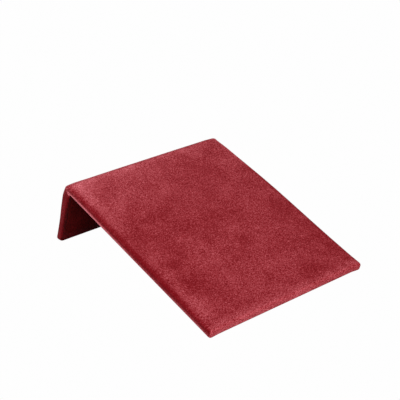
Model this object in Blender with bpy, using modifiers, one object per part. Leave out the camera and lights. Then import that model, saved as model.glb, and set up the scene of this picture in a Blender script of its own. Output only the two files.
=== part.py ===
"""Suede-covered display ramp: a sloped face and a short back leg, joined at a rounded ridge.

Two stiff boards are mitred and taped into a corner. One sheet of imitation suede wraps them from outside, turns
in over every free edge as a hem and is slit where the sheet has to close a corner. Cards fill the space between
the hems, and a thinner suede lining covers hems, cards and tape on the inside.

The ramp is drawn in a bench frame with its face lying flat: X runs across it, the face runs from the ridge
towards -Y, and the leg hangs from the ridge. The ramp_stance empty then tips it onto its front edge and its foot.
Every layer is set by its depth, measured inwards from the cover's outer surface, and by its inset, measured from
the front end on the face and up from the table on the leg.
"""

import math

import bmesh
import bpy
from mathutils import Matrix, Vector

# Overall shape, in metres
WIDTH = 0.100  # across the ramp, along X
FACE_LENGTH = 0.119  # from the ridge's sharp outer corner to the face's front end
SLOPE = math.radians(16.2)  # of the face, once the ramp stands on a table; the leg's length follows from it
CORNER_ANGLE = math.radians(93)  # between face and leg, measured inside
RIDGE_RADIUS = 0.0028  # of the cover's outer surface over the ridge
SIDE_RADIUS = 0.0012  # of the cover's outer surface along its two sides
END_RADIUS = 0.0014  # of the cover's outer surface along the front end and the foot

# Layers, in metres
COVER = 0.00065  # imitation suede
BOARD = 0.0025  # stiff grey board
GLUE_GAP = 0.0003  # left between a board and the cover, for glue and tape
TAPE = 0.00012  # gummed paper
CARD = 0.0006  # infill between the hems
LINING = 0.0005  # thinner suede
LINING_GAP = 0.0002  # between the hems and the lining

# Pieces, in metres
HEM = 0.010  # width of the turned-in cover on the inside
SLIT = 0.0003  # where two hems meet
RIDGE_SLIT_START = 0.0022  # depth at which the slit in each side wall begins, under the ridge
TAPE_REACH = 0.012  # how far a tape runs from the ridge along each board
TAPE_SIDE_INSET = 0.003
INFILL_CLEARANCE = 0.0006  # between a card and the hems around it
INFILL_START = 0.0058  # from the ridge's sharp corner to a card's near end
LINING_SIDE_INSET = 0.0016
LINING_END_INSET = 0.0048
OVERCUT = 0.002  # how far a cutter runs past what it cuts

# Depths of the layers' faces
BOARD_OUTER = COVER + GLUE_GAP
BOARD_INNER = BOARD_OUTER + BOARD
HEM_OUTER = BOARD_INNER + GLUE_GAP
THICKNESS = HEM_OUTER + COVER
TAPE_GAP = (GLUE_GAP - TAPE) / 2
CARD_OUTER = HEM_OUTER + (COVER - CARD) / 2
LINING_OUTER = THICKNESS + LINING_GAP
LINING_INNER = LINING_OUTER + LINING

# Roundness
RIDGE_STEPS = 8
EDGE_STEPS = 3

# Directions in the bench frame's (y, z) plane
LEG_ANGLE = math.pi + CORNER_ANGLE
LEG_ALONG = Vector((math.cos(LEG_ANGLE), math.sin(LEG_ANGLE)))  # down the leg
LEG_OUTWARD = Vector((-LEG_ALONG.y, LEG_ALONG.x))  # out of the leg's back
FACE_ALONG = Vector((-1.0, 0.0))  # down the face
FACE_OUTWARD = Vector((0.0, 1.0))  # out of the face's top
BISECTOR = (FACE_ALONG + LEG_ALONG).normalized()  # from the ridge into the corner
TABLE_UP = Vector((math.sin(SLOPE), math.cos(SLOPE)))  # square to the table the ramp will stand on
ACROSS = Vector((1.0, 0.0, 0.0))

SUEDE_RED = (0.42, 0.035, 0.055)
LINING_RED = (0.30, 0.022, 0.035)
BOARD_GREY = (0.30, 0.27, 0.23)
TAPE_BROWN = (0.42, 0.27, 0.14)
CARD_CREAM = (0.62, 0.57, 0.47)


def clear_scene():
    for obj in list(bpy.data.objects):
        bpy.data.objects.remove(obj)


def new_collection(name):
    collection = bpy.data.collections.new(name)
    bpy.context.scene.collection.children.link(collection)
    return collection


def new_material(name, colour, roughness):
    material = bpy.data.materials.new(name)
    material.use_nodes = True
    shader = material.node_tree.nodes["Principled BSDF"]
    shader.inputs["Base Color"].default_value = (*colour, 1.0)
    shader.inputs["Roughness"].default_value = roughness
    shader.inputs["Metallic"].default_value = 0.0
    return material


def on_face(along, depth):
    """The point that far down the face from the ridge, and that deep."""
    return FACE_ALONG * along - FACE_OUTWARD * depth


def on_leg(along, depth):
    """The point that far down the leg from the ridge, and that deep."""
    return LEG_ALONG * along - LEG_OUTWARD * depth


def front_end(inset, depth):
    """The point that deep in the face, and that far short of its front end."""
    return on_face(FACE_LENGTH - inset, depth)


def foot_end(inset, depth):
    """The point that deep in the leg, and that high above the table: the leg is cut to stand flat on it."""
    front_low = front_end(END_RADIUS, THICKNESS - END_RADIUS)
    table = front_low.dot(TABLE_UP) - END_RADIUS
    start = on_leg(0.0, depth)
    return start + LEG_ALONG * ((table + inset - start.dot(TABLE_UP)) / LEG_ALONG.dot(TABLE_UP))


def ridge_corner(depth):
    """The sharp corner where the face and the leg meet at that depth."""
    return BISECTOR * (depth / math.sin(CORNER_ANGLE / 2))


def rounded(corners, steps):
    """The outline through (point, radius) corners, each radius above 0 drawn as an arc."""
    outline = []
    for i, (point, radius) in enumerate(corners):
        if radius <= 0:
            outline.append(point)
            continue
        back = (corners[i - 1][0] - point).normalized()
        ahead = (corners[(i + 1) % len(corners)][0] - point).normalized()
        half = back.angle(ahead) / 2
        centre = point + (back + ahead).normalized() * (radius / math.sin(half))
        start = point + back * (radius / math.tan(half)) - centre
        end = point + ahead * (radius / math.tan(half)) - centre
        turn = math.pi - 2 * half
        for step in range(steps + 1):
            share = step / steps
            arm = start * math.sin((1 - share) * turn) + end * math.sin(share * turn)
            outline.append(centre + arm / math.sin(turn))
    return outline


def bent_outline(outer, inner, face_end, leg_end, end_radius=0.0):
    """Outline of a layer that bends round the ridge, between two depths.

    face_end and leg_end give the layer's two ends at any depth. Over the ridge it follows the cover's roundness
    until its own radius runs out.
    """
    return rounded(
        [
            (face_end(outer), end_radius),
            (face_end(inner), end_radius),
            (ridge_corner(inner), RIDGE_RADIUS - inner),
            (leg_end(inner), end_radius),
            (leg_end(outer), end_radius),
            (ridge_corner(outer), RIDGE_RADIUS - outer),
        ],
        RIDGE_STEPS,
    )


def whole_outline(outer, inner, inset, end_radius=0.0):
    """Outline of a bent layer that runs from the front end to the foot, less an inset at both."""

    def face_end(depth):
        return front_end(inset, depth)

    def leg_end(depth):
        return foot_end(inset, depth)

    return bent_outline(outer, inner, face_end, leg_end, end_radius)


def prism(name, outline, width, collection):
    """A solid with that (y, z) outline, centred across X."""
    curve = bpy.data.curves.new(name, "CURVE")
    curve.dimensions = "2D"
    curve.fill_mode = "BOTH"
    curve.extrude = width / 2
    spline = curve.splines.new("POLY")
    spline.points.add(len(outline) - 1)
    for point, place in zip(spline.points, outline):
        point.co = (place.x, place.y, 0.0, 1.0)
    spline.use_cyclic_u = True
    drawn = bpy.data.objects.new(name + "_outline", curve)
    drawn.rotation_euler = (math.pi / 2, 0.0, math.pi / 2)
    bpy.context.scene.collection.objects.link(drawn)
    bpy.context.view_layer.update()

    evaluated = drawn.evaluated_get(bpy.context.evaluated_depsgraph_get())
    mesh = bpy.data.meshes.new_from_object(evaluated)
    mesh.name = name
    mesh.transform(drawn.matrix_world)
    bpy.data.objects.remove(drawn)

    shape = bmesh.new()
    shape.from_mesh(mesh)
    bmesh.ops.remove_doubles(shape, verts=shape.verts, dist=1e-7)
    bmesh.ops.dissolve_limit(shape, angle_limit=math.radians(0.5), verts=shape.verts, edges=shape.edges)
    bmesh.ops.recalc_face_normals(shape, faces=shape.faces)
    shape.to_mesh(mesh)
    shape.free()

    obj = bpy.data.objects.new(name, mesh)
    collection.objects.link(obj)
    return obj


def round_sides(obj, radius):
    """Rounds the edges that run round a prism's two flat sides, and leaves those that run across it."""
    weights = obj.data.attributes.new("bevel_weight_edge", "FLOAT", "EDGE")
    for edge in obj.data.edges:
        start, end = (obj.data.vertices[index].co.x for index in edge.vertices)
        weights.data[edge.index].value = float(start * end > 0)
    bevel = obj.modifiers.new("round_sides", "BEVEL")
    bevel.width = radius
    bevel.segments = EDGE_STEPS
    bevel.limit_method = "WEIGHT"


def cut(obj, cutter):
    boolean = obj.modifiers.new("cut_" + cutter.name, "BOOLEAN")
    boolean.operation = "DIFFERENCE"
    boolean.solver = "EXACT"
    boolean.object = cutter


def as_cutter(obj):
    obj.hide_render = True
    obj.display_type = "WIRE"
    return obj


def box_cutter(name, size, centre, x_axis, y_axis, collection):
    """A box with that size along x_axis, y_axis and their cross product."""
    mesh = bpy.data.meshes.new(name)
    shape = bmesh.new()
    bmesh.ops.create_cube(shape, size=1.0)
    bmesh.ops.scale(shape, vec=size, verts=shape.verts)
    shape.to_mesh(mesh)
    shape.free()
    obj = bpy.data.objects.new(name, mesh)
    turn = Matrix((x_axis, y_axis, x_axis.cross(y_axis))).transposed()
    obj.matrix_basis = Matrix.Translation(centre) @ turn.to_4x4()
    collection.objects.link(obj)
    return as_cutter(obj)


def lifted(point, x=0.0):
    """A (y, z) outline point as a point in the bench frame."""
    return Vector((x, point.x, point.y))


def make_stance():
    """The empty that stands the ramp on its table, centred over the origin."""
    outline = whole_outline(0.0, THICKNESS, 0.0, END_RADIUS)
    tipped = [Matrix.Rotation(SLOPE, 2) @ point for point in outline]
    depths = [point.x for point in tipped]
    stance = bpy.data.objects.new("ramp_stance", None)
    stance.rotation_euler = (SLOPE, 0.0, 0.0)
    stance.location = (0.0, -(min(depths) + max(depths)) / 2, -min(point.y for point in tipped))
    return stance


def make_boards(parts, cutters):
    """Face and leg board: one bent board, parted by a mitre with a glue line in it."""
    outline = whole_outline(BOARD_OUTER, BOARD_INNER, BOARD_OUTER, END_RADIUS - BOARD_OUTER)
    width = WIDTH - 2 * BOARD_OUTER
    along_mitre = lifted(BISECTOR)
    reach = FACE_LENGTH + OVERCUT
    boards = []
    for name, side in (("face_board", 1.0), ("leg_board", -1.0)):
        board = prism(name, outline, width, parts)
        away = ACROSS.cross(along_mitre) * side
        centre = away * (reach - GLUE_GAP) / 2
        size = Vector((width + 2 * OVERCUT, 2 * reach, reach))
        cut(board, box_cutter(name + "_mitre", size, centre, ACROSS * side, along_mitre, cutters))
        boards.append(board)
    return boards


def make_cover(parts, cutters):
    """The wrapped sheet: a thin skin over the boards, hemmed round the opening that the lining closes."""
    cover = prism("suede_cover", whole_outline(0.0, THICKNESS, 0.0, END_RADIUS), WIDTH, parts)
    round_sides(cover, SIDE_RADIUS)

    cavity_outline = whole_outline(COVER, HEM_OUTER, COVER, END_RADIUS - COVER)
    cavity = as_cutter(prism("cover_cavity", cavity_outline, WIDTH - 2 * COVER, cutters))
    round_sides(cavity, SIDE_RADIUS - COVER)
    opening_outline = whole_outline(HEM_OUTER - GLUE_GAP / 2, THICKNESS + OVERCUT, HEM)
    opening = as_cutter(prism("cover_opening", opening_outline, WIDTH - 2 * HEM, cutters))
    cut(cover, cavity)
    cut(cover, opening)
    for cutter in make_hem_slits(cutters) + make_ridge_slits(cutters):
        cut(cover, cutter)
    return cover


def make_hem_slits(cutters):
    """Cutters that part the hems on the mitre at each free corner."""
    slits = []
    depth = THICKNESS - COVER / 2
    for side, label in ((-1.0, "left"), (1.0, "right")):
        for end, point_at, outward in (
            ("front", front_end, FACE_OUTWARD),
            ("foot", foot_end, LEG_OUTWARD),
        ):
            # From the opening's corner to where the cover starts to round over
            inner = lifted(point_at(HEM + OVERCUT, depth), side * (WIDTH / 2 - HEM - OVERCUT))
            outer = lifted(point_at(END_RADIUS, depth), side * (WIDTH / 2 - END_RADIUS))
            run = outer - inner
            size = Vector((run.length, COVER + GLUE_GAP, SLIT))
            centre = (inner + outer) / 2
            name = f"{end}_{label}_slit"
            slits.append(box_cutter(name, size, centre, run.normalized(), lifted(outward), cutters))
    return slits


def make_ridge_slits(cutters):
    """Cutters that part the side walls and side hems along the bisector of the corner."""
    slits = []
    high = ridge_corner(RIDGE_SLIT_START)
    low = ridge_corner(THICKNESS + OVERCUT)
    size = Vector((HEM + OVERCUT, (low - high).length, SLIT))
    for side, label in ((-1.0, "left"), (1.0, "right")):
        centre = lifted((high + low) / 2, side * (WIDTH / 2 - HEM / 2))
        slits.append(box_cutter(f"ridge_{label}_slit", size, centre, ACROSS, lifted(BISECTOR), cutters))
    return slits


def make_tapes(parts):
    """Gummed paper over the outside of the mitre, and into its inside."""

    def face_end(depth):
        return on_face(TAPE_REACH, depth)

    def leg_end(depth):
        return on_leg(TAPE_REACH, depth)

    tapes = []
    for name, outer in (("ridge_tape", COVER + TAPE_GAP), ("corner_tape", BOARD_INNER + TAPE_GAP)):
        outline = bent_outline(outer, outer + TAPE, face_end, leg_end)
        tapes.append(prism(name, outline, WIDTH - 2 * TAPE_SIDE_INSET, parts))
    return tapes


def make_infill_cards(parts):
    """Cards that level the inside between the hems."""
    cards = []
    inner = CARD_OUTER + CARD
    inset = HEM + INFILL_CLEARANCE
    for name, near, far in (
        ("face_infill_card", on_face, front_end),
        ("leg_infill_card", on_leg, foot_end),
    ):
        outline = [
            far(inset, CARD_OUTER),
            far(inset, inner),
            near(INFILL_START, inner),
            near(INFILL_START, CARD_OUTER),
        ]
        cards.append(prism(name, outline, WIDTH - 2 * inset, parts))
    return cards


def make_lining(parts):
    """One sheet of thin suede over the underside of the face and the inside of the leg."""
    outline = whole_outline(LINING_OUTER, LINING_INNER, LINING_END_INSET)
    return prism("inner_lining", outline, WIDTH - 2 * LINING_SIDE_INSET, parts)


def finish(obj, material, stance):
    obj.data.materials.append(material)
    obj.data.shade_smooth()
    obj.data.set_sharp_from_angle(angle=math.radians(35))
    obj.parent = stance


def main():
    clear_scene()
    parts = new_collection("display_ramp")
    cutters = new_collection("cutters")
    suede = new_material("crimson_suede", SUEDE_RED, 0.95)
    lining_suede = new_material("lining_suede", LINING_RED, 0.95)
    grey_board = new_material("grey_board", BOARD_GREY, 0.9)
    gummed_paper = new_material("gummed_paper", TAPE_BROWN, 0.7)
    cream_card = new_material("cream_card", CARD_CREAM, 0.85)

    stance = make_stance()
    parts.objects.link(stance)
    for board in make_boards(parts, cutters):
        finish(board, grey_board, stance)
    finish(make_cover(parts, cutters), suede, stance)
    for tape in make_tapes(parts):
        finish(tape, gummed_paper, stance)
    for card in make_infill_cards(parts):
        finish(card, cream_card, stance)
    finish(make_lining(parts), lining_suede, stance)
    for cutter in cutters.objects:
        cutter.parent = stance


main()
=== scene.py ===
"""Looks for the suede-covered display ramp: the wrap, the lining, the board and paper inside, a plain
white stage, soft studio light and the camera."""

import math

import bmesh
import bpy
import numpy as np
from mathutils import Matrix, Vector, noise


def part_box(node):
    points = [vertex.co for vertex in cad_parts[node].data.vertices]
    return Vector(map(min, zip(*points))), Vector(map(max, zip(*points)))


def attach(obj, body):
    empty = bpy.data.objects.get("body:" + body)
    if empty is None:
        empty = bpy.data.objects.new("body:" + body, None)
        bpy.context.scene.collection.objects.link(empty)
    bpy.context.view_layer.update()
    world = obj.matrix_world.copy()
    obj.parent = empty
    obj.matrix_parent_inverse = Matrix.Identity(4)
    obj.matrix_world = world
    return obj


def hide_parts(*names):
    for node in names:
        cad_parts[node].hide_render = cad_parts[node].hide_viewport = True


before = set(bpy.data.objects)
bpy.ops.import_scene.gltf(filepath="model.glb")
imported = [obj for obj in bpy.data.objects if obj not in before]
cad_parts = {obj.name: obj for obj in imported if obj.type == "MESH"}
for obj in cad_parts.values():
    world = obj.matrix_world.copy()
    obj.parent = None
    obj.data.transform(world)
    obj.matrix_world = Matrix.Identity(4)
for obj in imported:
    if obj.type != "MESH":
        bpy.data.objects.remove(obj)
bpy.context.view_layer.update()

# ------------------------------------------------ sizes, repeated from the CAD part, in metres
WIDTH = 0.100
FACE_LENGTH = 0.119
SLOPE = math.radians(16.2)
CORNER_ANGLE = math.radians(93)
RIDGE_RADIUS = 0.0028
LEAST_RADIUS = 0.00015  # of the ridge's inner layers
END_RADIUS = 0.0014
COVER = 0.00065  # the suede's thickness
THICKNESS = 0.0044  # of the wrapped panel
HEM = 0.010
LINING = 0.0005
LINING_OUTER = THICKNESS + 0.0002
LINING_SIDE_INSET = 0.0016
LINING_END_INSET = 0.0048

# ------------------------------------------------ sizes of what only shows up close
EDGE = 0.0015  # roundness of the wrapped edges, outside
HEM_EDGE = 0.0010  # and underneath
FRONT_CORNER = 0.0014  # roundness of the face's free corners, seen square on
FOOT_CORNER = 0.0023  # and of the leg's
GROOVE = 0.0003  # depth of the seams, where the folded suede meets itself
CELL = 0.0009  # mesh spacing on the flat
EDGE_LINES = (0.0, 0.0003, 0.0007, 0.0013, 0.0021)  # closer mesh lines along every edge
RIDGE_STEPS = 12  # mesh steps round the ridge
MID_RIDGE = 1.5  # the middle of the ridge, where v runs 1-2 round it
SLIT_REACH = 0.3  # how much of v the slit in the side wall takes up there
WALL_INSET = 0.0001  # less than this far in is on the wall
TINY = 1e-6

# ------------------------------------------------ the bent panel, seen along its ridge
# The bench frame has the face flat: y runs back towards the ridge corner at 0 and z up.
HALF_CORNER = CORNER_ANGLE / 2
RIDGE_TURN = math.pi - CORNER_ANGLE
FACE_ALONG = np.array([-1.0, 0.0])
FACE_OUT = np.array([0.0, 1.0])
LEG_ALONG = -np.array([math.cos(CORNER_ANGLE), math.sin(CORNER_ANGLE)])
LEG_OUT = np.array([-LEG_ALONG[1], LEG_ALONG[0]])
BISECTOR = (FACE_ALONG + LEG_ALONG) / np.linalg.norm(FACE_ALONG + LEG_ALONG)
TABLE_UP = np.array([math.sin(SLOPE), math.cos(SLOPE)])
TABLE_BACK = np.array([math.cos(SLOPE), -math.sin(SLOPE)])
FRONT_ROUND = FACE_ALONG * (FACE_LENGTH - END_RADIUS)
TABLE = (FRONT_ROUND - FACE_OUT * (THICKNESS - END_RADIUS)) @ TABLE_UP - END_RADIUS
LEG_LENGTH = TABLE / (LEG_ALONG @ TABLE_UP)
FRONT = (FRONT_ROUND - FACE_OUT * END_RADIUS) @ TABLE_BACK - END_RADIUS
STANCE = (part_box("suede_cover")[0][1] - FRONT, -TABLE)


def smooth(t):
    """0 below 0, 1 above 1, and a soft step between."""
    t = np.clip(t, 0, 1)
    return t * t * (3 - 2 * t)


def hump(t, middle, reach):
    """1 at the middle and next to nothing two reaches away."""
    return np.exp(-(((t - middle) / reach) ** 2))


def to_row(points):
    """Bench points (x, y, z), turned onto the table."""
    yz = points[:, 1:]
    height = np.maximum(yz @ TABLE_UP + STANCE[1], 0)  # the table presses the ends flat
    return np.stack([points[:, 0], yz @ TABLE_BACK + STANCE[0], height], -1)


def turn_at(v):
    """How far the panel has turned there: 0 on the face, RIDGE_TURN on the leg."""
    return np.clip(v - 1, 0, 1) * RIDGE_TURN


def outward(v):
    """The direction (y, z) that the panel's outside faces there."""
    angle = math.pi / 2 - turn_at(v)
    return np.stack([np.cos(angle), np.sin(angle)], -1)


def along(v):
    """Distance from the ridge corner: above 0 on the face and below 0 on the leg."""
    return np.clip(1 - v, 0, 1) * FACE_LENGTH - np.clip(v - 2, 0, 1) * LEG_LENGTH


def section(v, depth, inset):
    """Bench (y, z) of points that deep under the outside. v runs 0-1 up the face, 1-2 round the ridge and
    2-3 down the leg, between two ends that stand `inset` in from the panel's own."""
    depth = depth[:, None]
    inset = inset[:, None]
    radius = np.maximum(RIDGE_RADIUS - depth, LEAST_RADIUS)
    near = (depth + radius) / math.tan(HALF_CORNER)
    face_far = FACE_ALONG * (FACE_LENGTH - inset) - FACE_OUT * depth
    face_near = FACE_ALONG * near - FACE_OUT * depth
    face = face_far + (face_near - face_far) * np.clip(v, 0, 1)[:, None]
    start = -LEG_OUT * depth
    reach = (TABLE + inset[:, 0] - start @ TABLE_UP) / (LEG_ALONG @ TABLE_UP)
    leg_near = start + LEG_ALONG * near
    leg_far = start + LEG_ALONG * reach[:, None]
    leg = leg_near + (leg_far - leg_near) * np.clip(v - 2, 0, 1)[:, None]
    ridge = BISECTOR * (depth + radius) / math.sin(HALF_CORNER) + radius * outward(v)
    return np.where(v[:, None] < 1, face, np.where(v[:, None] > 2, leg, ridge))


def plan_corners(x, v, width, inset):
    """Rounds the four free corners, seen square on: moves x in, and v back along the panel."""
    face = (np.clip(1 - v, 0, 1), 1, FACE_LENGTH, FRONT_CORNER)
    leg = (np.clip(v - 2, 0, 1), -1, LEG_LENGTH, FOOT_CORNER)
    for side, sign, length, radius in (face, leg):
        centre = width / 2 - radius
        over = np.abs(x) - centre
        beyond = side * (length - inset) - (length - radius)
        both = (over > 0) & (beyond > 0)
        reach = np.hypot(over, beyond)
        share = np.where(both, np.maximum(over, beyond) / np.where(reach > 0, reach, 1), 1.0)
        x = np.where(both, np.sign(x) * (centre + over * share), x)
        v = v + sign * np.where(both, beyond * (1 - share), 0) / (length - inset)
    return x, v


# ------------------------------------------------ meshes of sheets bent over the panel
def graded(length):
    """Positions 0-1 along a length, closer together at both ends."""
    edge = np.array(EDGE_LINES) / length
    middle = np.linspace(edge[-1], 1 - edge[-1], int(round(length / CELL)))
    return np.concatenate([edge[:-1], middle, 1 - edge[-2::-1]])


def arc(radius, start, end, steps):
    """Angles' cosines and sines along an arc, leaving out its start."""
    angles = np.linspace(start, end, steps + 1)[1:]
    return [(radius * math.cos(a), radius * math.sin(a)) for a in angles]


def wrap_path():
    """(inset, depth) of the rings that take the wrap round the edge, under to its hem's end, and back."""
    quarter = math.pi / 2
    low = THICKNESS - HEM_EDGE
    path = [(EDGE - s, EDGE - c) for c, s in arc(EDGE, 0, quarter, 6)]
    path += [(0.0, EDGE + (low - EDGE) * k / 4) for k in range(1, 5)]
    path += [(HEM_EDGE - c, low + s) for c, s in arc(HEM_EDGE, 0, quarter, 6)]
    path += [(HEM_EDGE + (HEM - HEM_EDGE) * k / 8, THICKNESS) for k in range(1, 9)]
    path += [(HEM + COVER * 0.12, THICKNESS - COVER / 2)]
    path += [(HEM - (HEM - HEM_EDGE) * k / 6, THICKNESS - COVER) for k in range(0, 7)]
    path += [(HEM_EDGE - s, low + c) for c, s in arc(HEM_EDGE - COVER, 0, quarter, 3)]
    path += [(EDGE - c, EDGE - s) for c, s in arc(EDGE - COVER, 0, quarter, 4)[:-1]]
    return path


def lining_path():
    """(inset, depth) of the rings round the lining's cut edge."""
    radius = LINING / 2
    return [(radius - s, LINING_OUTER + radius - c) for c, s in arc(radius, 0, math.pi, 6)[:-1]]


class Sheet:
    """A closed sheet bent over the panel: one side's grid, rings round its edge, the other side's grid."""

    def __init__(self, width, end_inset, first, path, last):
        across = graded(width)
        up_face = graded(FACE_LENGTH)
        down_leg = 2 + graded(LEG_LENGTH)
        round_ridge = np.linspace(1, 2, RIDGE_STEPS + 1)
        lengthwise = np.concatenate([up_face[:-1], round_ridge, down_leg[1:]])
        nu, nv = len(across), len(lengthwise)
        grid_u, grid_v = (g.ravel() for g in np.meshgrid(across, lengthwise, indexing="ij"))
        inner = lengthwise[1:-1]
        ring_u = np.concatenate([across, np.ones(nv - 2), across[::-1], np.zeros(nv - 2)])
        ring_v = np.concatenate([np.full(nu, 0.0), inner, np.full(nu, 3.0), inner[::-1]])
        rings = [(ring_u, ring_v, step) for step in path]
        loops = [(grid_u, grid_v, first)] + rings + [(grid_u, grid_v, last)]
        self.u = np.concatenate([u for u, v, step in loops])
        self.v = np.concatenate([v for u, v, step in loops])
        self.inset = np.concatenate([np.full(len(u), step[0]) for u, v, step in loops])
        self.depth = np.concatenate([np.full(len(u), step[1]) for u, v, step in loops])
        self.faces = self.quads(nu, nv, len(ring_u), len(path))
        self.width = width
        self.end_inset = end_inset

    @staticmethod
    def quads(nu, nv, ring, count):
        index = np.arange(nu * nv).reshape(nu, nv)
        corners = [index[:-1, :-1], index[1:, :-1], index[1:, 1:], index[:-1, 1:]]
        flat = np.stack(corners, -1).reshape(-1, 4)
        rim = np.concatenate([index[:, 0], index[-1, 1:-1], index[::-1, -1], index[0, 1:-1][::-1]])
        base = nu * nv
        rings = [base + ring * k + np.arange(ring) for k in range(count)]
        loops = [rim] + rings + [rim + base + ring * count]
        sides = [np.stack([a, b, np.roll(b, -1), np.roll(a, -1)], -1) for a, b in zip(loops, loops[1:])]
        return np.concatenate([flat] + sides + [flat[:, ::-1] + base + ring * count])

    def place(self, soften=None):
        """Bench points, with x from the middle of the panel."""
        x = (self.u * 2 - 1) * (self.width / 2 - self.inset)
        x, v = plan_corners(x, self.v, self.width, self.inset)
        points = np.column_stack([x, section(v, self.depth, self.inset + self.end_inset)])
        return points if soften is None else soften(self, points)

    def build(self, name, points, material, nap=None):
        mesh = bpy.data.meshes.new(name)
        mesh.from_pydata(to_row(points).tolist(), [], self.faces.tolist())
        shaped = bmesh.new()
        shaped.from_mesh(mesh)
        bmesh.ops.recalc_face_normals(shaped, faces=shaped.faces)
        shaped.to_mesh(mesh)
        shaped.free()
        mesh.shade_smooth()
        if nap is not None:
            mesh.attributes.new("nap", "FLOAT", "POINT").data.foreach_set("value", nap)
        mesh.materials.append(material)
        piece = bpy.data.objects.new(name, mesh)
        bpy.context.scene.collection.objects.link(piece)
        return piece


# ------------------------------------------------ the wrap's softness, and its nap's tone with painted light and shade
def waves(points, scale, seed):
    """Smooth noise between about -1 and 1, the same each run."""
    shift = Vector((seed, 2.7 * seed, 1.3 * seed))
    return np.array([noise.noise(Vector(p) * scale + shift) for p in points.tolist()])


def seams(sheet):
    """Where the suede was mitred under its corners and slit at the ridge: 1 on the seam, 0 elsewhere."""
    under = sheet.depth > THICKNESS - TINY
    side_edge = (sheet.u == 0) | (sheet.u == 1)
    corner = side_edge & ((sheet.v == 0) | (sheet.v == 3))
    mitre = corner & under & (sheet.inset >= HEM_EDGE)
    beside_ridge = np.clip(1 - np.abs(sheet.v - MID_RIDGE) / SLIT_REACH, 0, 1)
    slit = side_edge & (sheet.inset < WALL_INSET) & (sheet.depth > THICKNESS / 2)
    return mitre, beside_ridge * slit


# Swells of the wrap: (height, distance from the ridge, reach). Below 0 the distance is down the leg.
RIGHT_SWELL = (0.00098, 0.049, 0.030)  # of the face's right edge
LEFT_LEG_SWELL = (0.00025, -0.012, 0.012)  # of the leg's left edge
BACK_SWELL = (0.00085, -0.0085, 0.0125)  # of the leg's back
TOP_SWELL = (0.00045, -0.0045, 0.0045)  # on top of that, just under the ridge
RIDGE_DROOP = (0.00012, 0.0, 0.006)  # of the ridge's right half
LEFT_DROOP = (0.00032, 0.0, 0.006)  # of the ridge's ends
RIGHT_DROOP = (0.00030, 0.0, 0.006)
RIDGE_PULL = (0.0001, 0.0, 0.005)  # how far the ridge's right end is drawn in
CORNER_SWELL = (0.0002, FACE_LENGTH, 0.005)  # of the front right corner, to its side
FRONT_SWELL_LEFT = 0.00025  # of the front corners, forwards
FRONT_SWELL_RIGHT = 0.00045
EDGE_SINK = 0.00010  # the face's fall towards its side edges
EDGE_SINK_REACH = 0.006
RIPPLES = ((0.00007, 55, 1), (0.00003, 170, 2))  # (height, waves per metre, seed)

# Where something sets in: (start, length to its full size)
NEAR_SIDE = (0.036, 0.014)  # from the ramp's middle
NEAR_END = (0.043, 0.007)
RIGHT_HALF = (0.02, 0.02)
FRONT_END = (FACE_LENGTH - 0.002, 0.002)  # from the ridge
OVER_RIDGE = (1.15, 0.85)  # in v, round the ridge
OVER_BACK = (1.5, 0.5)
UNDER_EDGE = (0.3 * THICKNESS, 0.5 * THICKNESS)  # in depth


def swell(s, shape):
    height, place, reach = shape
    return height * hump(s, place, reach)


def ramp_up(t, span):
    """0 up to the span's start, and 1 once t is the span's length past it."""
    start, length = span
    return smooth((t - start) / length)


def soften_wrap(sheet, points):
    """Swells and pulls of cloth over board, at most 1.3 mm."""
    x = points[:, 0]
    v = sheet.v
    s = along(v)
    out = outward(v)
    right = x > 0
    outer = 1 - ramp_up(sheet.depth, UNDER_EDGE)
    near_side = ramp_up(np.abs(x), NEAR_SIDE)
    near_end = ramp_up(np.abs(x), NEAR_END)
    mitre, slit = seams(sheet)
    # across: the right edge is fuller, and so is the leg's left edge
    across = right * swell(s, RIGHT_SWELL) * near_side
    across = across - right * swell(s, RIDGE_PULL) * near_end
    across = across - ~right * swell(s, LEFT_LEG_SWELL) * near_end
    across = across + right * swell(s, CORNER_SWELL) * near_end
    # square to the panel: ripples, sinking side edges and a drooping ridge
    lift = sum(height * waves(points, scale, seed) for height, scale, seed in RIPPLES)
    lift = lift - EDGE_SINK * smooth(1 - (WIDTH / 2 - np.abs(x)) / EDGE_SINK_REACH) * (s > 0)
    lift = lift - swell(s, RIDGE_DROOP) * ramp_up(x, RIGHT_HALF)
    lift = lift - np.where(right, swell(s, RIGHT_DROOP), swell(s, LEFT_DROOP)) * near_end
    # backwards at the top of the leg, and forwards at the front corners
    back = swell(s, BACK_SWELL) * ramp_up(v, OVER_RIDGE) + swell(s, TOP_SWELL) * ramp_up(v, OVER_BACK)
    front = np.where(right, FRONT_SWELL_RIGHT, FRONT_SWELL_LEFT) * ramp_up(s, FRONT_END) * near_end
    result = points.copy()
    result[:, 0] += across - np.sign(x) * GROOVE * slit
    result[:, 1:] += out * (lift * outer + GROOVE * mitre)[:, None]
    result[:, 1:] += LEG_OUT * (back * outer)[:, None] + FACE_ALONG * front[:, None]
    return result
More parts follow.
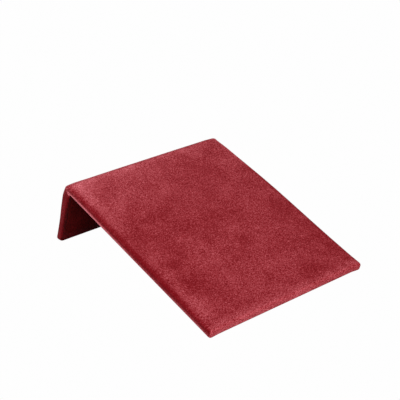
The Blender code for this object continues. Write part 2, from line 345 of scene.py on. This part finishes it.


# Patches of lighter and darker nap, and the painted highlight along the ridge: (distance from the ridge,
# place across, reach along, reach across, tone)
PATCHES = (
    (0.018, -0.022, 0.014, 0.012, 0.14),
    (0.010, 0.002, 0.010, 0.010, 0.08),
    # these four rows, on the ridge, shape its painted highlight
    (0.002, -0.044, 0.005, 0.010, 0.34),
    (0.004, -0.015, 0.004, 0.012, 0.30),
    (0.002, 0.006, 0.003, 0.007, -0.14),
    (0.004, 0.026, 0.004, 0.007, 0.32),
    (0.050, -0.039, 0.009, 0.005, -0.26),
    (0.041, -0.028, 0.005, 0.007, -0.16),
    (0.076, -0.038, 0.006, 0.005, -0.34),
    (0.091, -0.036, 0.007, 0.006, -0.24),
    (0.070, -0.028, 0.012, 0.005, -0.16),
    (0.076, 0.006, 0.004, 0.004, -0.34),
    (0.056, -0.006, 0.006, 0.016, -0.16),
    (0.025, 0.014, 0.012, 0.008, -0.20),
    (0.083, 0.020, 0.010, 0.009, -0.12),
    (0.022, 0.039, 0.011, 0.005, 0.16),
    (0.068, 0.043, 0.022, 0.010, -0.22),
    (0.098, 0.045, 0.014, 0.007, -0.26),
    (0.111, 0.025, 0.007, 0.010, -0.36),
    (0.116, 0.046, 0.005, 0.006, -0.26),
    (0.116, -0.008, 0.004, 0.008, -0.14),
    (0.109, -0.019, 0.004, 0.007, 0.12),
    (0.118, -0.047, 0.004, 0.005, -0.14),
    (0.053, -0.046, 0.008, 0.004, -0.20),
    (-0.016, 0.018, 0.009, 0.016, -0.22),
    (-0.024, -0.022, 0.008, 0.014, 0.20),
)

# The nap's tone: above 0 where it is paler, below 0 where it is darker; much of it is painted light and
# painted shade.
# Where a tone changes along the panel it is (tone, distance from the ridge, reach), as a swell is.
RIDGE_HIGHLIGHT = 0.30  # a painted highlight along the ridge
RIDGE_HIGHLIGHT_SLOPE = 1.0  # how much of that is lost for each metre to the right
RIDGE_HIGHLIGHT_REACH = 0.0030
LEFT_BAND = ((0.38, 0.004, 0.036), (0.20, 0.098, 0.022))  # beside the left edge
LEFT_BAND_INSET = 0.0052
LEFT_BAND_REACH = 0.0032
LEFT_BAND_STRAY = 0.3
FRONT_HIGHLIGHT = 0.27  # painted light on the rounded front end and the strip above it
FRONT_HIGHLIGHT_SLOPE = 0.9
FRONT_STRIP = (FACE_LENGTH - 0.0050, 0.0050)
FACE_WALL_SHADE = 0.52  # painted shade on the side walls: how dark they are
LEG_WALL_SHADE = 0.56
LEG_WALL_LESS_SHADE = (0.20, 0.0, 0.012)
LEG_SHADE = 0.8  # and how much darker the inner half of the leg's
RIM_HIGHLIGHT = 0.34  # a painted highlight on the lower rim of the face's side walls, and its brightest stretch
RIM_HIGHLIGHT_PEAK = (0.94, 0.015, 0.034)
RIM_HIGHLIGHT_END = -0.001  # where it stops, just past the ridge
RIGHT_EDGE_LIT = 0.5  # how much of the walls' painted shade is left off the right edge's rounding
RIGHT_EDGE_LIT_MORE = (1.3, 0.0, 0.026)
FOLD_HIGHLIGHT = 0.4  # a painted highlight on the fold where a wall turns down the leg
FOLD_REACH = 0.16
HEM_SHADE = 1.4  # painted shade on the hem underneath
OVER_SIDE = (-0.0020, 0.0034)  # where the walls' painted shade and light set in, measured over the side edge
OVER_SIDE_LATER = (0.0014, FACE_LENGTH, 0.014)  # and how much later it does so near the front
WALL_END = (FACE_LENGTH - 0.0012, 0.0012)
RIM_HIGHLIGHT_DEPTH = (0.0017, 0.0015)
LEG_SHADE_DEPTH = (0.0029, 0.0016)
DOWN_LEG = (0.001, 0.004)
STRAYS = ((0.0045, 110), (0.002, 300))  # (distance, waves per metre)
STRAY_SEEDS = (5, 7)  # along and across


def stray(points, seed):
    """How far a patch's outline wanders there."""
    return sum(far * waves(points, scale, seed + k) for k, (far, scale) in enumerate(STRAYS))


def side_walls(s, depth, inset, x):
    """1 on the side walls, 0 on the face and the front end, and between them on the rounding."""
    over = depth + EDGE - WIDTH / 2 + np.abs(x)  # how far over the side edge, from where its rounding starts
    wall = ramp_up(over - swell(s, OVER_SIDE_LATER), OVER_SIDE)
    return wall * (1 - ramp_up(s, WALL_END)) * (inset < EDGE * 2) * (depth < THICKNESS - TINY)


def tone_and_painted_light(sheet, points):
    """The nap's tone over the wrap, with painted highlights and painted shade in it."""
    x = points[:, 0]
    s = along(sheet.v)
    depth = sheet.depth
    inset = sheet.inset
    on_face = s > 0
    outside = depth < EDGE * 1.01
    stray_along, stray_across = [stray(points, seed) for seed in STRAY_SEEDS]
    tone = np.zeros(len(x))
    # lighter and darker patches, the ridge's painted highlight among them
    for place, middle, reach, width, strength in PATCHES:
        patch = hump(s + stray_along, place, reach) * hump(x + stray_across, middle, width)
        tone += strength * patch * outside
    # painted highlight along the ridge, strongest at its left end
    tone += (RIDGE_HIGHLIGHT - RIDGE_HIGHLIGHT_SLOPE * x) * hump(s, 0, RIDGE_HIGHLIGHT_REACH) * outside
    band = sum(swell(s, shape) for shape in LEFT_BAND)
    from_left = WIDTH / 2 + x + LEFT_BAND_STRAY * stray_across
    band = band * hump(from_left, LEFT_BAND_INSET, LEFT_BAND_REACH)
    tone += band * on_face * outside
    wall = side_walls(s, depth, inset, x)
    # painted light on the front end and the strip above it
    front = (FRONT_HIGHLIGHT - FRONT_HIGHLIGHT_SLOPE * x) * ramp_up(s, FRONT_STRIP)
    tone += front * on_face * (1 - wall)
    # the lower rim, where a painted highlight takes the place of the walls' painted shade
    rim = ramp_up(depth, RIM_HIGHLIGHT_DEPTH) * (s > RIM_HIGHLIGHT_END)
    # the right edge's rounding, kept clear of the walls' painted shade
    right_edge_lit = (x > 0) * (1 - smooth(depth / EDGE)) * (RIGHT_EDGE_LIT + swell(s, RIGHT_EDGE_LIT_MORE))
    # painted shade on the side walls, a little less near the top of the leg's
    wall_shade = np.where(on_face, FACE_WALL_SHADE, LEG_WALL_SHADE - swell(s, LEG_WALL_LESS_SHADE))
    tone -= wall_shade * wall * (1 - rim) * (1 - right_edge_lit)
    tone += (RIM_HIGHLIGHT + swell(s, RIM_HIGHLIGHT_PEAK)) * wall * rim
    tone -= LEG_SHADE * wall * ramp_up(depth, LEG_SHADE_DEPTH) * ramp_up(-s, DOWN_LEG)
    # painted highlight on the fold at the ridge
    tone += FOLD_HIGHLIGHT * wall * hump(sheet.v, MID_RIDGE, FOLD_REACH)
    # painted shade on the hem under the panel
    tone -= HEM_SHADE * (depth > THICKNESS - TINY) * (inset > HEM_EDGE * 0.99)
    return tone


# ------------------------------------------------ materials
class Graph:
    """A material's node tree, with short ways to add to it."""

    def __init__(self, name):
        self.material = bpy.data.materials.new(name)
        self.material.use_nodes = True
        self.tree = self.material.node_tree
        self.shader = self.tree.nodes["Principled BSDF"]
        self.place = self.tree.nodes.new("ShaderNodeTexCoord").outputs["Object"]

    def node(self, kind, **values):
        node = self.tree.nodes.new(kind)
        for key, value in values.items():
            setattr(node, key, value)
        return node

    def feed(self, socket, value):
        if isinstance(value, (int, float)):
            socket.default_value = value
        else:
            self.tree.links.new(value, socket)

    def noise(self, scale, detail, roughness, shift=0.0, stretch=(1, 1, 1), distortion=0.0):
        mapping = self.node("ShaderNodeMapping")
        mapping.inputs["Location"].default_value = (shift, 2 * shift, 3 * shift)
        mapping.inputs["Scale"].default_value = stretch
        self.feed(mapping.inputs["Vector"], self.place)
        texture = self.node("ShaderNodeTexNoise")
        self.feed(texture.inputs["Vector"], mapping.outputs["Vector"])
        texture.inputs["Scale"].default_value = scale
        texture.inputs["Detail"].default_value = detail
        texture.inputs["Roughness"].default_value = roughness
        texture.inputs["Distortion"].default_value = distortion
        return texture.outputs["Fac"]

    def math(self, operation, *values):
        node = self.node("ShaderNodeMath", operation=operation)
        for socket, value in zip(node.inputs, values):
            self.feed(socket, value)
        return node.outputs[0]

    def mix_tones(self, start, parts):
        """start plus each (strength, noise) with its noise centred on 0."""
        total = start
        for strength, value in parts:
            total = self.math("ADD", total, self.math("MULTIPLY_ADD", value, strength, -strength / 2))
        return total

    def ramp(self, value, stops):
        node = self.node("ShaderNodeValToRGB")
        elements = node.color_ramp.elements
        while len(elements) < len(stops):
            elements.new(0.5)
        for element, (position, colour) in zip(elements, stops):
            element.position = position
            element.color = (*colour, 1)
        self.feed(node.inputs["Fac"], value)
        return node.outputs["Color"]

    def bump(self, height, strength, distance):
        node = self.node("ShaderNodeBump")
        node.inputs["Strength"].default_value = strength
        node.inputs["Distance"].default_value = distance
        self.feed(node.inputs["Height"], height)
        self.feed(self.shader.inputs["Normal"], node.outputs["Normal"])


# The suede's noises: waves per metre. Strengths are in the same tone as the mesh's tone with its painted
# light and shade.
FIBRES = 2300
TUFTS = 950
MOTTLE = 110
CLOUD = 34
FIBRE_STRENGTH = 3.9
TUFT_STRENGTH = 0.9
MOTTLE_STRENGTH = 0.60
CLOUD_STRENGTH = 0.75
PLAIN_TONE = 0.48  # of plain nap, before its patches and its painted light and shade
TONE_FROM_FIBRES = 1.6  # how much more the fibres' tips take the mesh's tone, painted light and shade included, than their roots
TONE_BETWEEN = 0.2
NAP_HEIGHT = 0.00018
PINK_SHEEN = (1.0, 0.62, 0.66, 1)


def suede(name, stops, grain, sheen, specular):
    """Short, brushed nap: crisp fibre grain, soft tufts, mottling, and the tone with painted light and shade
    that the mesh carries.
    """
    graph = Graph(name)
    fibres = graph.noise(FIBRES, 2.0, 0.65, shift=0.4, stretch=(1, 0.8, 1))
    tufts = graph.noise(TUFTS, 1.0, 0.5, shift=1.1)
    mottle = graph.noise(MOTTLE, 3.0, 0.55, shift=2.3, distortion=0.3)
    cloud = graph.noise(CLOUD, 2.0, 0.5, shift=3.7, distortion=0.3)
    # the mesh's tone, painted highlights and painted shade included
    tone_and_light = graph.node("ShaderNodeAttribute", attribute_name="nap").outputs["Fac"]
    takes_tone = graph.math("MULTIPLY_ADD", fibres, TONE_FROM_FIBRES, TONE_BETWEEN)
    speckled = graph.math("MULTIPLY", tone_and_light, takes_tone)
    parts = [
        (FIBRE_STRENGTH * grain, fibres),
        (TUFT_STRENGTH * grain, tufts),
        (MOTTLE_STRENGTH, mottle),
        (CLOUD_STRENGTH, cloud),
    ]
    tone = graph.mix_tones(graph.math("ADD", speckled, PLAIN_TONE), parts)
    low = stops[0][0]
    span = stops[-1][0] - low
    squeezed = [((position - low) / span, colour) for position, colour in stops]
    place = graph.math("DIVIDE", graph.math("SUBTRACT", tone, low), span)
    graph.feed(graph.shader.inputs["Base Color"], graph.ramp(place, squeezed))
    graph.feed(graph.shader.inputs["Roughness"], graph.math("MULTIPLY_ADD", mottle, 0.12, 0.84))
    graph.shader.inputs["Specular IOR Level"].default_value = specular
    graph.shader.inputs["Sheen Weight"].default_value = sheen
    graph.shader.inputs["Sheen Roughness"].default_value = 0.4
    graph.shader.inputs["Sheen Tint"].default_value = PINK_SHEEN
    graph.bump(graph.mix_tones(0.5, [(1.0, fibres), (0.8, tufts)]), 0.8, NAP_HEIGHT)
    return graph.material


def paper(name, colour, roughness, fibre_scale, spread, stretch):
    """Board, card or paper: fibres, flecks and a faint tooth."""
    graph = Graph(name)
    fibres = graph.noise(fibre_scale, 4.0, 0.6, shift=0.3, stretch=stretch)
    flecks = graph.noise(fibre_scale * 0.35, 1.0, 0.5, shift=1.9)
    cloud = graph.noise(60, 2.0, 0.5, shift=2.6)
    tone = graph.mix_tones(0.5, [(1.2, fibres), (0.8, flecks), (0.4, cloud)])
    dark = [c * (1 - spread) for c in colour]
    light = [min(1.0, c * (1 + spread)) for c in colour]
    stops = [(0.0, dark), (0.5, colour), (1.0, light)]
    graph.feed(graph.shader.inputs["Base Color"], graph.ramp(tone, stops))
    graph.feed(graph.shader.inputs["Roughness"], graph.math("MULTIPLY_ADD", flecks, 0.1, roughness - 0.05))
    graph.shader.inputs["Specular IOR Level"].default_value = 0.3
    graph.bump(fibres, 0.35, 0.0001)
    return graph.material


# (tone, colour), from the hem's painted shade through the walls' painted shade and darker nap to paler nap
# and painted highlights
CRIMSON = (
    (-1.0, (0.045, 0.0008, 0.0010)),
    (-0.5, (0.165, 0.0020, 0.0050)),
    (0.0, (0.165, 0.0020, 0.0050)),
    (0.5, (0.285, 0.0220, 0.0300)),
    (1.0, (0.430, 0.0700, 0.0840)),
    (1.6, (0.600, 0.1350, 0.1600)),
    (2.2, (0.860, 0.2500, 0.2900)),
)
# The lining's colours, darker than the wrap's: painted shade for the inside under the ramp.
SHADED_CRIMSON = (
    (0.0, (0.035, 0.0008, 0.0008)),
    (0.5, (0.075, 0.0016, 0.0016)),
    (1.0, (0.130, 0.0050, 0.0056)),
)


def cover_nodes(material, *nodes):
    """Gives CAD nodes their material."""
    for name in nodes:
        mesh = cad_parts[name].data
        mesh.materials.clear()
        mesh.materials.append(material)


def inside_materials():
    board = paper("grey_board", (0.30, 0.27, 0.23), 0.9, 900, 0.35, (1, 0.5, 1))
    tape = paper("gummed_paper", (0.42, 0.27, 0.14), 0.7, 1500, 0.2, (0.3, 1, 1))
    card = paper("cream_card", (0.62, 0.57, 0.47), 0.85, 1200, 0.12, (1, 1, 1))
    cover_nodes(board, "face_board", "leg_board")
    cover_nodes(tape, "ridge_tape", "corner_tape")
    cover_nodes(card, "face_infill_card", "leg_infill_card")


# ------------------------------------------------ stage, light and camera
GLOW = 0.99  # how white the floor looks
BOUNCE = 0.62  # how much light comes back up from it
DAYLIGHT = 0.38
SEEN_HALF = 30
BOUNCE_HALF = 3
SEEN_DROP = 0.00002  # how far the two planes lie under the ramp
BOUNCE_DROP = 0.00004
AIM = (0.0, 0.0, 0.02)  # where the lights point
EYE = (-0.32408, -0.3818, 0.27426)
EYE_TILT = -0.45188  # radians up from level, and round from looking along +Y
EYE_TURN = -0.69919
LENS = 98.91  # mm, on a sensor 36 mm wide


def plane(name, half, height, material):
    mesh = bpy.data.meshes.new(name)
    corners = [(-half, -half, 0), (half, -half, 0), (half, half, 0), (-half, half, 0)]
    mesh.from_pydata(corners, [], [(0, 1, 2, 3)])
    mesh.materials.append(material)
    stage = bpy.data.objects.new(name, mesh)
    stage.location.z = height
    bpy.context.scene.collection.objects.link(stage)
    return stage


def paper_stage():
    """White paper that burns out to plain white, over the paper that gives the bounce light."""
    glow = Graph("white_paper")
    glow.shader.inputs["Base Color"].default_value = (0, 0, 0, 1)
    glow.shader.inputs["Specular IOR Level"].default_value = 0.0
    glow.shader.inputs["Emission Color"].default_value = (1, 1, 1, 1)
    glow.shader.inputs["Emission Strength"].default_value = GLOW
    seen = plane("floor", SEEN_HALF, -SEEN_DROP, glow.material)
    for kind in ("diffuse", "glossy", "transmission", "shadow"):
        setattr(seen, "visible_" + kind, False)
    matt = Graph("bounce_paper")
    matt.shader.inputs["Base Color"].default_value = (BOUNCE, BOUNCE, BOUNCE, 1)
    matt.shader.inputs["Roughness"].default_value = 1.0
    unseen = plane("bounce", BOUNCE_HALF, -BOUNCE_DROP, matt.material)
    unseen.visible_camera = False


def softbox(name, place, size, power):
    data = bpy.data.lights.new(name, "AREA")
    data.shape = "DISK"
    data.size = size
    data.energy = power
    light = bpy.data.objects.new(name, data)
    light.location = place
    light.rotation_euler = (Vector(AIM) - Vector(place)).to_track_quat("-Z", "Y").to_euler()
    bpy.context.scene.collection.objects.link(light)


def studio():
    world = bpy.data.worlds.new("studio")
    world.use_nodes = True
    background = world.node_tree.nodes["Background"]
    background.inputs["Color"].default_value = (1, 1, 1, 1)
    background.inputs["Strength"].default_value = DAYLIGHT
    bpy.context.scene.world = world
    bpy.context.scene.view_settings.view_transform = "Standard"
    softbox("key", (-0.30, 0.05, 1.0), size=0.7, power=6.2)
    softbox("front", (-0.05, -1.1, 0.06), size=0.5, power=10.5)
    softbox("side", (-0.95, -0.25, 0.05), size=0.4, power=2.5)


def camera():
    data = bpy.data.cameras.new("camera")
    data.sensor_width = 36.0
    data.lens = LENS
    eye = bpy.data.objects.new("camera", data)
    eye.location = EYE
    eye.rotation_euler = (math.pi / 2 + EYE_TILT, 0.0, EYE_TURN)
    bpy.context.scene.collection.objects.link(eye)
    bpy.context.scene.camera = eye


# ------------------------------------------------ the pieces
def make_wrap():
    material = suede("crimson_suede", CRIMSON, grain=1.0, sheen=0.10, specular=0.06)
    sheet = Sheet(WIDTH, 0.0, (EDGE, 0.0), wrap_path(), (EDGE, COVER))
    points = sheet.place(soften_wrap)
    wrap = sheet.build("suede_wrap", points, material, tone_and_painted_light(sheet, points))
    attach(wrap, "root")
    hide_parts("suede_cover")
    return wrap


def make_lining(wrap):
    # the lining, coloured with painted shade
    material = suede("lining_suede", SHADED_CRIMSON, grain=0.7, sheen=0.03, specular=0.04)
    radius = LINING / 2
    width = WIDTH - 2 * LINING_SIDE_INSET
    first, last = (radius, LINING_OUTER), (radius, LINING_OUTER + LINING)
    sheet = Sheet(width, LINING_END_INSET, first, lining_path(), last)
    lining = sheet.build("suede_lining", sheet.place(), material)
    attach(lining, "root")
    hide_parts("inner_lining")


camera()
paper_stage()
studio()
inside_materials()
make_lining(make_wrap())
